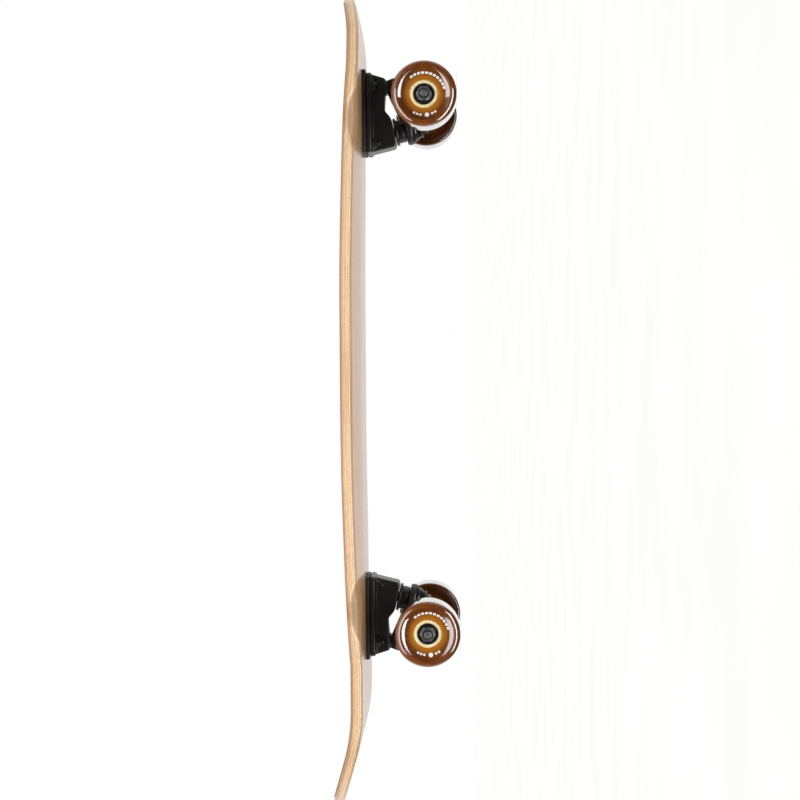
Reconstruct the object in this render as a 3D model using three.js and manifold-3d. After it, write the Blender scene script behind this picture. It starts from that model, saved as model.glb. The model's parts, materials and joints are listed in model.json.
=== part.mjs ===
// A wooden cruiser skateboard on two traditional-kingpin trucks.
//
// Millimetres. +X points to the nose, +Y to the left of a rider who faces the nose, +Z up. The origin is
// on the ground, midway between the nose tip, the tail tip and the two rails. Every wheel stands on Z = 0.
import * as THREE from "three";
import { mergeVertices } from "three/addons/utils/BufferGeometryUtils.js";
import Module from "manifold-3d";

const wasm = await Module();
wasm.setup();

// ---- Driving dimensions ---------------------------------------------------------------------------

const GAP = 0.3; // air left between faces that touch on the real board

// Deck: pressed maple plies, 779 x 203 mm
const DECK_LENGTH = 779;
const DECK_WIDTH = 203.2;
const DECK_THICKNESS = 10.4;
const NOSE_OVERHANG = 105; // nose tip to front axle
const WHEELBASE = 500; // axle to axle
const NOSE_LENGTH = 120; // half ellipses close the outline at both ends
const TAIL_LENGTH = 92;
const FLAT_HALF_WIDTH = 36; // the middle strip has no concave
const CONCAVE_RISE = 7.3; // the rails above the middle strip, midway between the trucks
const CONCAVE_REACH = 280; // from mid wheelbase to where the concave has died out
const CONCAVE_FALL = 3.2; // exponent: the concave stays deep and then dies out quickly
const CAMBER = 1; // the middle of the deck above its ends
const CAMBER_FLAT = 60; // from mid wheelbase: level, so a foot or a shelf has a flat face
const CAMBER_END = 195;
const NOSE_KICK = { start: 335, bend: 54.5, slope: 0.283 };
const TAIL_KICK = { start: 286, bend: 48, slope: 0.287 };
const GRIP_THICKNESS = 0.8; // grit set in clear lacquer
const GRIP_INSET = 4; // bare wood left along the rails
const WELL = { inboard: 24, length: 56, depth: 6.5, fade: 30 }; // wheel wells under the rails

// Wheels, bearings and axles: 61 mm wheels on 608 bearings and 8 mm axles
const WHEEL_RADIUS = 30.5;
const WHEEL_WIDTH = 42;
const WHEEL_CENTRE = 79; // from the truck's middle to the wheel's middle
const AXLE_RADIUS = 4;
const AXLE_HALF = 101.2;
const BEARING = { outer: 11, inner: 4.3, width: 7, offset: 8.5 };
const AXLE_NUT = { flats: 12.7, start: 92.2, length: 6.6 };

// Trucks. In a truck's own frame the axle's middle is the origin and +X points away from mid wheelbase.
const TRUCK_STACK = 60.5; // axle to deck underside
const RISER = { thickness: 3.2, length: 80, width: 56, centre: -6 };
const FLANGE = { thickness: 5.4, length: 77, width: 54, centre: -7.5 };
const BLOCK_WIDTH = 30;
const PATTERN = { along: 54, across: 41.3, centre: -10 }; // bolt centres
const BOLT = { shank: 2.4, head: 4.9, headDepth: 3, hole: 2.9, tip: 44 };
const BOLT_NUT = { flats: 9.5, height: 4 };
const PIVOT = new THREE.Vector2(17.6, 32.4); // centre of the pivot pin's round end
const SEAT = new THREE.Vector2(-24.4, 30.2); // where the kingpin leaves the baseplate
const KINGPIN_LEAN = THREE.MathUtils.degToRad(11.9);
const KINGPIN = { radius: 4.75, length: 34, head: 8, headHeight: 6, recess: 8 };
const PIVOT_CUP = { radius: 7.9, start: -2.8, end: 7 }; // along the steering axis, from PIVOT
const BOSS = { radius: 9.8, start: -3, end: 8.6 }; // the baseplate's housing for the pivot cup
const HANGER = { half: 66, ringRadius: 15, ringBore: 6.7, pin: 5.6, pinLength: 16, webWidth: 15 };
const BEAM = { collar: 6.6, collarLength: 12, shoulder: 9.4, shoulderAt: 24, middle: 10.6 }; // radii
const STEER_LIMIT = THREE.MathUtils.degToRad(13); // each way
// Along the kingpin, from the seat outwards: where each piece of the bushing stack starts and ends
const STACK = {
  upperWasher: [GAP, 1.8],
  upperBushing: [2.1, 10.4],
  ring: [10.7, 17.9],
  lowerBushing: [18.2, 25.7],
  lowerWasher: [26, 27.4],
  nut: [27.7, 33],
};
const STACK_RADIUS = { upperWasher: 13.5, barrel: 11, coneBase: 13, coneTip: 10, lowerWasher: 10.5 };

// Worked out from these
const FRONT_AXLE_X = DECK_LENGTH / 2 - NOSE_OVERHANG;
const REAR_AXLE_X = FRONT_AXLE_X - WHEELBASE;
const MID_WHEELBASE_X = (FRONT_AXLE_X + REAR_AXLE_X) / 2;
const UNDERSIDE_Z = WHEEL_RADIUS + TRUCK_STACK;
const TOP_Z = UNDERSIDE_Z + DECK_THICKNESS;
const FLANGE_TOP = TRUCK_STACK - GAP - RISER.thickness - GAP;
const FLANGE_BOTTOM = FLANGE_TOP - FLANGE.thickness;
const kingpinAxis = new THREE.Vector2(Math.sin(KINGPIN_LEAN), -Math.cos(KINGPIN_LEAN));
const ringCentre = SEAT.clone().addScaledVector(kingpinAxis, (STACK.ring[0] + STACK.ring[1]) / 2);
const steeringAxis = PIVOT.clone().sub(ringCentre).normalize();

// ---- Materials ------------------------------------------------------------------------------------

const finish = (color, roughness, metalness = 0) =>
  new THREE.MeshStandardMaterial({ color, roughness, metalness });

const maple = finish(0xd9b88f, 0.4);
const grit = finish(0xc9a67c, 0.95);
const riserPlastic = finish(0x1b1715, 0.6);
const blackPaint = finish(0x171614, 0.45, 0.3);
const urethane = finish(0xa35a14, 0.25);
const bushingUrethane = finish(0x15130f, 0.5);
const blackSteel = finish(0x23221f, 0.4, 0.8);
const steel = finish(0x9b9c9c, 0.3, 0.9);

// ---- Solids and meshes ----------------------------------------------------------------------------

function solid(geometry) {
  const bare = geometry.index ? geometry.toNonIndexed() : geometry.clone();
  bare.deleteAttribute("normal");
  bare.deleteAttribute("uv");
  const merged = mergeVertices(bare, 1e-3);
  return new wasm.Manifold(
    new wasm.Mesh({
      numProp: 3,
      vertProperties: merged.attributes.position.array,
      triVerts: new Uint32Array(merged.index.array),
    }),
  );
}

function surface(manifold) {
  const { vertProperties, triVerts } = manifold.getMesh();
  return new THREE.BufferGeometry()
    .setAttribute("position", new THREE.BufferAttribute(vertProperties, 3))
    .setIndex(new THREE.BufferAttribute(triVerts, 1));
}

function place(group, name, shape, material) {
  const geometry = shape.isBufferGeometry ? shape : surface(shape);
  const mesh = new THREE.Mesh(geometry, material);
  mesh.name = name;
  group.add(mesh);
  return mesh;
}

// A turned piece: the profile holds (radius, height) pairs, closes on itself, and turns about +Y.
function turned(profile, segments) {
  const points = profile.map(([radius, height]) => new THREE.Vector2(radius, height));
  points.push(points[0].clone());
  return new THREE.LatheGeometry(points, segments);
}

// A tube of square section from `start` to `end` along +Y.
const ring = (inner, outer, start, end, segments) =>
  turned([[inner, start], [outer, start], [outer, end], [inner, end]], segments);

const rod = (radius, start, end, segments) =>
  new THREE.CylinderGeometry(radius, radius, end - start, segments).translate(0, (start + end) / 2, 0);

// A hexagonal nut along +Y, whose eight-sided hole clears a thread of the given radius.
function nut(flats, hole, start, end) {
  const body = solid(rod(flats / Math.sqrt(3), start, end, 6));
  return surface(body.subtract(solid(rod(hole / Math.cos(Math.PI / 8), start - 1, end + 1, 8))));
}

// A prism: the outline is drawn in X and Z and reaches half its width to each side of Y = 0.
function prism(shape, width, curveSegments = 6) {
  return new THREE.ExtrudeGeometry(shape, { depth: width, bevelEnabled: false, curveSegments })
    .translate(0, 0, -width / 2)
    .rotateX(Math.PI / 2);
}

// A plate with rounded corners, its middle at x, from bottom to top.
function plate(length, width, corner, x, bottom, top) {
  const [a, b] = [length / 2 - corner, width / 2 - corner];
  const shape = new THREE.Shape();
  shape.absarc(a, b, corner, 0, Math.PI / 2);
  shape.absarc(-a, b, corner, Math.PI / 2, Math.PI);
  shape.absarc(-a, -b, corner, Math.PI, 1.5 * Math.PI);
  shape.absarc(a, -b, corner, 1.5 * Math.PI, 2 * Math.PI);
  return new THREE.ExtrudeGeometry(shape, { depth: top - bottom, bevelEnabled: false, curveSegments: 4 })
    .translate(x, 0, bottom);
}

// Turns a piece made along +Y so that it points along a direction in the XZ plane, from an origin there.
function along(geometry, origin, direction) {
  const turn = new THREE.Quaternion().setFromUnitVectors(
    new THREE.Vector3(0, 1, 0),
    new THREE.Vector3(direction.x, 0, direction.y),
  );
  return geometry.applyQuaternion(turn).translate(origin.x, 0, origin.y);
}

// The four bolt centres of a truck, in the truck's own frame.
const boltCentres = [-1, 1].flatMap((end) =>
  [-1, 1].map((side) => ({
    x: PATTERN.centre + (end * PATTERN.along) / 2,
    y: (side * PATTERN.across) / 2,
    name: (end > 0 ? "outer" : "inner") + "_" + (side > 0 ? "left" : "right"),
  })),
);

const withBoltHoles = (body, bottom, top, radius = BOLT.hole) =>
  boltCentres.reduce((cut, { x, y }) => {
    const hole = rod(radius, bottom - 1, top + 1, 8).rotateX(Math.PI / 2).translate(x, y, 0);
    return cut.subtract(solid(hole));
  }, body);

// ---- Deck -----------------------------------------------------------------------------------------

// Rise of an upturned end, at a distance along the deck from mid-length: a round bend, then straight.
function kickRise({ start, bend, slope }, distance) {
  const past = Math.max(0, distance - start);
  return past < bend ? (slope * past * past) / (2 * bend) : slope * (past - bend / 2);
}

// Height of the deck's surfaces above where they lie over the trucks.
function deckRise(x, y) {
  const fromMiddle = Math.abs(x - MID_WHEELBASE_X);
  const fade = THREE.MathUtils.clamp((fromMiddle - CAMBER_FLAT) / (CAMBER_END - CAMBER_FLAT), 0, 1);
  const camber = (CAMBER * (1 + Math.cos(Math.PI * fade))) / 2;
  const depth = Math.max(0, 1 - (fromMiddle / CONCAVE_REACH) ** CONCAVE_FALL);
  const across = Math.max(0, Math.abs(y) - FLAT_HALF_WIDTH) / (DECK_WIDTH / 2 - FLAT_HALF_WIDTH);
  return camber + CONCAVE_RISE * depth * across ** 1.6 + kickRise(NOSE_KICK, x) + kickRise(TAIL_KICK, -x);
}

// Half the deck's width at x: straight rails between half ellipses.
function outline(inset) {
  const halfWidth = DECK_WIDTH / 2 - inset;
  const noseBase = DECK_LENGTH / 2 - NOSE_LENGTH;
  const tailBase = DECK_LENGTH / 2 - TAIL_LENGTH;
  const shape = new THREE.Shape();
  shape.absellipse(noseBase, 0, NOSE_LENGTH - inset, halfWidth, -Math.PI / 2, Math.PI / 2);
  shape.absellipse(-tailBase, 0, TAIL_LENGTH - inset, halfWidth, Math.PI / 2, 1.5 * Math.PI);
  return shape;
}

// A sheet that follows the deck's shape, from `bottom` to `top` above the deck's underside. Its facets
// crowd towards the upturned ends.
const CROWDING = 1.1;
function pressedSheet(bottom, top, inset) {
  const reach = DECK_LENGTH / 2 + 2;
  const slab = new THREE.BoxGeometry(2, DECK_WIDTH + 4, top - bottom, 32, 8, 1)
    .translate(0, 0, UNDERSIDE_Z + (bottom + top) / 2);
  const position = slab.attributes.position;
  for (let i = 0; i < position.count; i++) {
    const x = (reach * Math.sin(CROWDING * position.getX(i))) / Math.sin(CROWDING);
    position.setX(i, x);
    position.setZ(i, position.getZ(i) + deckRise(x, position.getY(i)));
  }
  const cutter = new THREE.ExtrudeGeometry(outline(inset), {
    depth: 3 * TOP_Z,
    bevelEnabled: false,
    curveSegments: 14,
  });
  return solid(slab).intersect(solid(cutter));
}

// A wheel well is the bite of a lying cylinder that is tilted to dig deepest at the rail.
function wheelWell(x, side) {
  const radius = (WELL.length ** 2 / 4 + WELL.depth ** 2) / (2 * WELL.depth);
  const railY = (side * DECK_WIDTH) / 2;
  const railZ = UNDERSIDE_Z + deckRise(x, railY);
  const inboardY = railY - side * WELL.fade;
  const drop = railZ + WELL.depth - (UNDERSIDE_Z + deckRise(x, inboardY));
  const bite = new THREE.CylinderGeometry(radius, radius, 120, 96)
    .translate(0, 0, -radius)
    .rotateX(side * Math.atan2(drop, WELL.fade))
    .translate(x, railY, railZ + WELL.depth);
  return solid(bite);
}

function makeDeck() {
  let deck = pressedSheet(0, DECK_THICKNESS, 0);
  for (const [axleX, outward] of [[FRONT_AXLE_X, 1], [REAR_AXLE_X, -1]]) {
    for (const side of [-1, 1]) {
      deck = deck.subtract(wheelWell(axleX - outward * WELL.inboard, side));
    }
    for (const { x, y } of boltCentres) {
      const top = TOP_Z;
      const hole = turned(
        [
          [0, UNDERSIDE_Z - 5],
          [BOLT.hole, UNDERSIDE_Z - 5],
          [BOLT.hole, top - BOLT.headDepth - 1],
          [BOLT.head + GAP, top - 0.6],
          [BOLT.head + GAP, top + 5],
          [0, top + 5],
        ],
        10,
      );
      deck = deck.subtract(solid(hole.rotateX(Math.PI / 2).translate(axleX + outward * x, y, 0)));
    }
  }
  return deck;
}

// The grit's underside is cut by the deck itself, lifted, so that it follows every facet of the deck's top.
function makeGrip() {
  const lifted = pressedSheet(GAP, DECK_THICKNESS + GAP, 0);
  const upTo = DECK_THICKNESS + GAP + GRIP_THICKNESS;
  let grip = pressedSheet(DECK_THICKNESS / 2, upTo, GRIP_INSET).subtract(lifted);
  for (const [axleX, outward] of [[FRONT_AXLE_X, 1], [REAR_AXLE_X, -1]]) {
    for (const { x, y } of boltCentres) {
      const hole = rod(BOLT.head + 2 * GAP, TOP_Z - 5, TOP_Z + 10, 10);
      grip = grip.subtract(solid(hole.rotateX(Math.PI / 2).translate(axleX + outward * x, y, 0)));
    }
  }
  return grip;
}

// ---- Truck: the fixed half ------------------------------------------------------------------------

function makeRiser() {
  const top = TRUCK_STACK - GAP;
  const pad = plate(RISER.length, RISER.width, 5, RISER.centre, top - RISER.thickness, top);
  return withBoltHoles(solid(pad), top - RISER.thickness, top);
}

function makeBaseplate() {
  const flange = solid(
    plate(FLANGE.length, FLANGE.width, 6, FLANGE.centre, FLANGE_BOTTOM, FLANGE_TOP),
  );
  const roof = FLANGE_BOTTOM + 1;
  const block = new THREE.Shape();
  block.moveTo(-45, roof);
  block.lineTo(-39.5, 30.5);
  block.quadraticCurveTo(-38.6, 27.2, -35.4, 27.9); // rounds into the kingpin seat
  block.lineTo(-11.3, 32.96);
  block.quadraticCurveTo(-3, 41, 3.5, 39.4); // the arch over the pivot pin
  block.lineTo(26, 37.5);
  block.lineTo(30.6, roof);
  const boss = along(rod(BOSS.radius, BOSS.start, BOSS.end, 16), PIVOT, steeringAxis);
  let body = flange.add(solid(prism(block, BLOCK_WIDTH))).add(solid(boss));
  const cupRoom = rod(PIVOT_CUP.radius + GAP, -BOSS.radius, PIVOT_CUP.end + GAP, 16);
  body = body.subtract(solid(along(cupRoom, PIVOT, steeringAxis)));
  // The kingpin's hole, and the pocket that its head sits in, open to the riser
  body = body.subtract(solid(along(rod(KINGPIN.radius + GAP, -40, 10, 12), SEAT, kingpinAxis)));
  const pocketEnd = -KINGPIN.recess;
  body = body.subtract(solid(along(rod(KINGPIN.head + 2, -50, pocketEnd, 12), SEAT, kingpinAxis)));
  // The bare seat that the upper washer rests on
  const seatRadius = STACK_RADIUS.upperWasher + 1;
  body = body.subtract(solid(along(rod(seatRadius, 0, 20, 16), SEAT, kingpinAxis)));
  return withBoltHoles(body, FLANGE_BOTTOM, FLANGE_TOP);
}

// A ball about the steering axis at the pivot, so that its facets match those of a pin along that axis.
const ball = (radius) =>
  along(new THREE.SphereGeometry(radius, 12, 8), PIVOT, steeringAxis);

// A cup of urethane with a round hollow for the pivot pin's end.
function makePivotCup() {
  const cup = along(rod(PIVOT_CUP.radius, PIVOT_CUP.start, PIVOT_CUP.end, 16), PIVOT, steeringAxis);
  const hollow = ball(HANGER.pin + GAP);
  const mouth = along(rod(HANGER.pin + GAP, -8, 0, 12), PIVOT, steeringAxis);
  return solid(cup).subtract(solid(hollow)).subtract(solid(mouth));
}

function makeKingpin() {
  const shank = solid(rod(KINGPIN.radius, -KINGPIN.recess - 2, KINGPIN.length, 12));
  const start = -KINGPIN.recess - GAP;
  const head = solid(rod(KINGPIN.head, start - KINGPIN.headHeight, start, 6));
  return along(surface(shank.add(head)), SEAT, kingpinAxis);
}

// Dished washers hold the bushings' rims: the upper one opens downwards, the lower one upwards.
function cupWasher([start, end], radius, lip) {
  const inner = KINGPIN.radius + GAP;
  const thickness = 1.2;
  const [face, back] = lip > 0 ? [start + thickness, start] : [end - thickness, end];
  const rim = lip > 0 ? end : start;
  const loop = [[inner, back], [radius, back], [radius, rim], [radius - 0.8, face], [inner, face]];
  return lip > 0 ? turned(loop, 16) : turned(loop.reverse(), 16);
}

function bushing([start, end], startRadius, endRadius) {
  const inner = KINGPIN.radius + GAP;
  const edge = 1.2;
  return turned(
    [
      [inner, start],
      [startRadius - edge, start],
      [startRadius, start + edge],
      [endRadius, end - edge],
      [endRadius - edge, end],
      [inner, end],
    ],
    16,
  );
}

// ---- Truck: the steering half ---------------------------------------------------------------------

// Turns a piece about the steering axis.
function leant(geometry, angle) {
  const axis = new THREE.Vector3(steeringAxis.x, 0, steeringAxis.y);
  const turn = new THREE.Matrix4().makeRotationAxis(axis, angle);
  return geometry
    .translate(-PIVOT.x, 0, -PIVOT.y)
    .applyMatrix4(turn)
    .translate(PIVOT.x, 0, PIVOT.y);
}

function makeHanger() {
  const { half, ringRadius, ringBore, pin, pinLength, webWidth } = HANGER;
  // The axle beam: a turned body, thick in the middle and down to a collar at each wheel
  const { collar, collarLength, shoulder, shoulderAt, middle } = BEAM;
  const halfBeam = [
    [middle, 0],
    [shoulder, shoulderAt],
    [collar + 0.6, half - collarLength],
    [collar, half],
    [0, half],
  ];
  const otherHalf = halfBeam.slice(1).map(([radius, height]) => [radius, -height]);
  const beam = turned([...otherHalf.reverse(), ...halfBeam], 14);
  // The web that joins the beam, the kingpin ring and the pivot pin
  const web = new THREE.Shape();
  const [x0, x1] = [ringCentre.x + 8, PIVOT.x - 9];
  web.moveTo(-9, -4);
  web.lineTo(8, -3);
  web.quadraticCurveTo(12.5, 14, x1 + 2, 26.4);
  web.lineTo(x1 - 2.5, 33.2);
  web.lineTo(x0, 22.2);
  web.lineTo(x0 - 4, 14.6);
  const nose = along(rod(pin, -pinLength, 0, 12), PIVOT, steeringAxis);
  const noseEnd = ball(pin);
  const yoke = along(rod(ringRadius, STACK.ring[0], STACK.ring[1], 20), SEAT, kingpinAxis);
  let body = [prism(web, webWidth), nose, noseEnd, yoke].reduce(
    (joined, piece) => joined.add(solid(piece)),
    solid(beam),
  );
  // The beam clears the lower washer and the kingpin nut however far the truck leans
  const washerRoom = STACK_RADIUS.lowerWasher + 3 * GAP;
  for (const lean of [-1, -0.5, 0, 0.5, 1]) {
    const room = along(rod(washerRoom, STACK.lowerWasher[0] - 1, 45, 20), SEAT, kingpinAxis);
    body = body.subtract(solid(leant(room, lean * STEER_LIMIT)));
  }
  // The bore leaves room to lean round the kingpin, and the beam is relieved round the bushing
  const coneRoom = STACK_RADIUS.coneBase + 2 * GAP;
  return body
    .subtract(solid(along(rod(ringBore, 0, 40, 12), SEAT, kingpinAxis)))
    .subtract(solid(along(rod(ringRadius + 1, -10, STACK.ring[0], 20), SEAT, kingpinAxis)))
    .subtract(solid(along(rod(coneRoom, STACK.ring[1], STACK.lowerBushing[1], 20), SEAT, kingpinAxis)))
    .subtract(solid(along(rod(washerRoom, STACK.ring[1], STACK.nut[1], 20), SEAT, kingpinAxis)))
    .subtract(solid(rod(AXLE_RADIUS + GAP, -half - 1, half + 1, 12)));
}

// ---- Wheels ---------------------------------------------------------------------------------------

// The wheel's middle is the origin; both faces are dished between the core and the lip.
function makeWheel() {
  const half = WHEEL_WIDTH / 2;
  const shoulder = BEARING.offset - BEARING.width / 2 - GAP;
  const seat = BEARING.outer + GAP;
  const face = [
    [8.4, shoulder],
    [seat, shoulder],
    [seat, 13],
    [14, 13],
    [22.5, 14],
    [26, half],
    [28.6, half - 0.5],
    [WHEEL_RADIUS, half - 4],
  ];
  const otherFace = face.map(([radius, height]) => [radius, -height]);
  return turned([...otherFace, ...face.reverse()], 24);
}

const makeBearing = () =>
  ring(BEARING.inner, BEARING.outer, -BEARING.width / 2, BEARING.width / 2, 16);

// ---- Assembly -------------------------------------------------------------------------------------

const board = new THREE.Group();
place(board, "deck", makeDeck(), maple);
place(board, "grip_layer", makeGrip(), grit);

for (const [end, axleX, outward] of [["front", FRONT_AXLE_X, 1], ["rear", REAR_AXLE_X, -1]]) {
  // The rear truck is the front one turned half round, so its steering is mirrored.
  const truck = new THREE.Group();
  truck.position.set(axleX, 0, WHEEL_RADIUS);
  truck.rotation.z = outward > 0 ? 0 : Math.PI;
  board.add(truck);

  place(truck, end + "_riser", makeRiser(), riserPlastic);
  place(truck, end + "_baseplate", makeBaseplate(), blackPaint);
  place(truck, end + "_pivot_cup", makePivotCup(), bushingUrethane);
  place(truck, end + "_kingpin", makeKingpin(), blackSteel);
  const { upperWasher, barrel, coneBase, coneTip, lowerWasher } = STACK_RADIUS;
  const stacked = [
    ["_upper_washer", cupWasher(STACK.upperWasher, upperWasher, 1), blackSteel],
    ["_upper_bushing", bushing(STACK.upperBushing, barrel, barrel), bushingUrethane],
    ["_lower_bushing", bushing(STACK.lowerBushing, coneBase, coneTip), bushingUrethane],
    ["_lower_washer", cupWasher(STACK.lowerWasher, lowerWasher, -1), blackSteel],
    ["_kingpin_nut", nut(14.3, KINGPIN.radius + GAP, ...STACK.nut), blackSteel],
  ];
  for (const [name, geometry, material] of stacked) {
    place(truck, end + name, along(geometry, SEAT, kingpinAxis), material);
  }
  place(truck, end + "_hanger", makeHanger(), blackPaint);
  place(truck, end + "_axle", rod(AXLE_RADIUS, -AXLE_HALF, AXLE_HALF, 12), steel);

  for (const { x, y, name } of boltCentres) {
    const top = TRUCK_STACK + DECK_THICKNESS;
    const { shank, head, headDepth, tip, hole } = BOLT;
    const bolt = turned(
      [[0, tip], [shank, tip], [shank, top - headDepth], [head, top - 0.6], [head, top], [0, top]],
      8,
    );
    const upright = (geometry) => geometry.rotateX(Math.PI / 2).translate(x, y, 0);
    place(truck, end + "_" + name + "_bolt", upright(bolt), blackSteel);
    const nutTop = FLANGE_BOTTOM - GAP;
    const boltNut = nut(BOLT_NUT.flats, hole, nutTop - BOLT_NUT.height, nutTop);
    place(truck, end + "_" + name + "_nut", upright(boltNut), blackSteel);
  }

  for (const [side, toLeft] of [["left", 1], ["right", -1]]) {
    // Wheels are placed in the board's frame, so that left and right mean the same at both ends.
    const hub = new THREE.Group();
    hub.position.set(axleX, toLeft * WHEEL_CENTRE, WHEEL_RADIUS);
    hub.rotation.z = toLeft > 0 ? 0 : Math.PI;
    board.add(hub);
    const name = end + "_" + side;
    place(hub, name + "_wheel", makeWheel(), urethane);
    place(hub, name + "_outer_bearing", makeBearing(), steel).position.y = BEARING.offset;
    const inner = place(hub, name + "_inner_bearing", makeBearing(), steel);
    inner.position.y = -BEARING.offset;
    inner.rotation.z = Math.PI;
    const reach = BEARING.offset - BEARING.width / 2 - GAP;
    place(hub, name + "_spacer", ring(BEARING.inner, 6, -reach, reach, 12), steel);
    const { flats, start, length } = AXLE_NUT;
    const axleNut = nut(flats, AXLE_RADIUS + GAP, start - WHEEL_CENTRE, start + length - WHEEL_CENTRE);
    place(hub, name + "_axle_nut", axleNut, steel);
  }
}

export default board;
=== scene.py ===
import json
import math

import bmesh
import bpy
from bpy.props import FloatProperty, FloatVectorProperty, IntProperty, PointerProperty
from mathutils import Matrix, Vector

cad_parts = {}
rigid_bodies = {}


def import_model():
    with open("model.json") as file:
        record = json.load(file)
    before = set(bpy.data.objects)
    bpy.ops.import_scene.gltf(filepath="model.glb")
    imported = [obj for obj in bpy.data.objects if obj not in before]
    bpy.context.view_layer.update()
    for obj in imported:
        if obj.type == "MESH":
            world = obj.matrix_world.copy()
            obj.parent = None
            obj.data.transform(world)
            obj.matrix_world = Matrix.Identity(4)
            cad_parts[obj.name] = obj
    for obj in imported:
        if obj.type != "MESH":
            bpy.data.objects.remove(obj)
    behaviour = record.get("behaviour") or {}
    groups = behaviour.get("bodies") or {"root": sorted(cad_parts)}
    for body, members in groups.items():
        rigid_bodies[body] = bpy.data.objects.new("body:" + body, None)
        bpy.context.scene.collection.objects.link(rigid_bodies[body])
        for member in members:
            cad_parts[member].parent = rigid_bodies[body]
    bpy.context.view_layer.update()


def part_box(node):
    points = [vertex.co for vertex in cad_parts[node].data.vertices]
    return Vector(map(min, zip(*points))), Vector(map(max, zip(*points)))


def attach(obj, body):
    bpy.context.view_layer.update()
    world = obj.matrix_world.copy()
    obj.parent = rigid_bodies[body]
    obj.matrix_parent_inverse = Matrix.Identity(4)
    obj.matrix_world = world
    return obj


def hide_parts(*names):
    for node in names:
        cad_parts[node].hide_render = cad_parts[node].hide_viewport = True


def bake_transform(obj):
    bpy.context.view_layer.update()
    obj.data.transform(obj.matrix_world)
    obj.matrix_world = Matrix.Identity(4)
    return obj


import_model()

bl_info = {
    "name": "Wooden cruiser skateboard",
    "version": (1, 0, 0),
    "blender": (4, 5, 0),
    "location": "3D View > Sidebar > Skateboard",
    "description": "Builds a wooden cruiser skateboard round its packed frame",
    "category": "Add Mesh",
}

MM = 0.001


def linear(code):
    """The linear red, green and blue of an sRGB hex colour."""
    parts = [int(code[i : i + 2], 16) / 255 for i in (0, 2, 4)]
    return tuple(c / 12.92 if c <= 0.04045 else ((c + 0.055) / 1.055) ** 2.4 for c in parts)


def middle_of(node):
    """The middle of a frame node's box, in millimetres."""
    low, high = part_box(node)
    return (Vector(low) + Vector(high)) / (2 * MM)


# ---- Sizes that the pieces share, in millimetres --------------------------------------------------

FRONT_AXLE_X = middle_of("front_axle").x
REAR_AXLE_X = middle_of("rear_axle").x
MID_WHEELBASE_X = (FRONT_AXLE_X + REAR_AXLE_X) / 2
AXLE_Z = middle_of("front_axle").z
TRUCK_HEIGHT = 60.5  # from the axle to the deck's underside over the trucks
UNDERSIDE_Z = AXLE_Z + TRUCK_HEIGHT

FLAT_HALF_WIDTH = 36  # the middle strip has no concave
CONCAVE_RISE, CONCAVE_REACH, CONCAVE_FALL = 7.3, 280, 3.2
CAMBER, CAMBER_FLAT, CAMBER_END = 1, 60, 195
NOSE_KICK = {"start": 335, "bend": 54.5, "slope": 0.283}
TAIL_KICK = {"start": 286, "bend": 48, "slope": 0.287}
NOSE_LENGTH, TAIL_LENGTH = 120, 92
WELL = {"inboard": 24, "length": 56, "depth": 6.5, "fade": 30}

WHEEL_CENTRE = 79
PATTERN = {"along": 54, "across": 41.3, "centre": -10}
FLANGE_TOP, FLANGE_BOTTOM = 56.7, 51.3
PIVOT = Vector((17.6, 0, 32.4))
SEAT = Vector((-24.4, 0, 30.2))
KINGPIN_LEAN = math.radians(11.9)
KINGPIN_AXIS = Vector((math.sin(KINGPIN_LEAN), 0, -math.cos(KINGPIN_LEAN)))
# Distances from the seat along the kingpin: the bushings' ends at the washers and at the hanger's ring
UPPER_BUSHING, LOWER_BUSHING = {"washer": 1.7, "ring": 10.6}, {"washer": 26.0, "ring": 18.0}
RING_CENTRE = SEAT + KINGPIN_AXIS * 14.3
STEERING_AXIS = (PIVOT - RING_CENTRE).normalized()
LEAN_LIMIT = 13  # degrees each way
AXLE_END, THREAD_START = 101.2, 88  # from the board's middle plane
BEARING_OFFSET = 8.5  # from the wheel's middle plane
BOWL_START = (13.5, 12.7)  # radius and height where the wheel's face begins
PRINT_SWELL = {"dash": 0.06, "dot": 0.12}  # how far the ink stands off the face

TRUCKS = {
    "front": Matrix.Translation((FRONT_AXLE_X, 0, AXLE_Z)),
    "rear": Matrix.Translation((REAR_AXLE_X, 0, AXLE_Z)) @ Matrix.Rotation(math.pi, 4, "Z"),
}
BOLT_CENTRES = [
    (
        "{}_{}".format("outer" if end > 0 else "inner", "left" if side > 0 else "right"),
        PATTERN["centre"] + end * PATTERN["along"] / 2,
        side * PATTERN["across"] / 2,
    )
    for end in (-1, 1)
    for side in (-1, 1)
]


# The camera's place in metres, the way that it looks, and its roll. The board stands on end in its view.
CAMERA_PLACE, CAMERA_TOWARD, CAMERA_ROLL = (0.0305, -1.886, 0.003), (-31, 1937, 55.8), 0.43
# The soft boxes, in metres: their length and width, and where they hang
BOX_LENGTH, BOX_WIDTH = 1.5, 0.36
UPPER_BOX_PLACE, LOWER_BOX_PLACE = (-0.2, -0.95, 0.74), (-0.2, -0.9, -0.75)
FLOOR_HALF_WIDTH = 12


# ---- Mesh tools -----------------------------------------------------------------------------------


def filleted(corners, steps=5):
    """Rounds each (x, y, radius) corner of a closed outline."""
    points = []
    for i, (x, y, radius) in enumerate(corners):
        here = Vector((x, y))
        if radius <= 0:
            points.append(here)
            continue
        back = Vector(corners[i - 1][:2]) - here
        ahead = Vector(corners[(i + 1) % len(corners)][:2]) - here
        reach = min(radius, 0.49 * back.length, 0.49 * ahead.length)
        start, end = here + back.normalized() * reach, here + ahead.normalized() * reach
        for step in range(steps + 1):
            t = step / steps
            points.append(start * (1 - t) ** 2 + here * 2 * t * (1 - t) + end * t * t)
    return points


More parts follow.
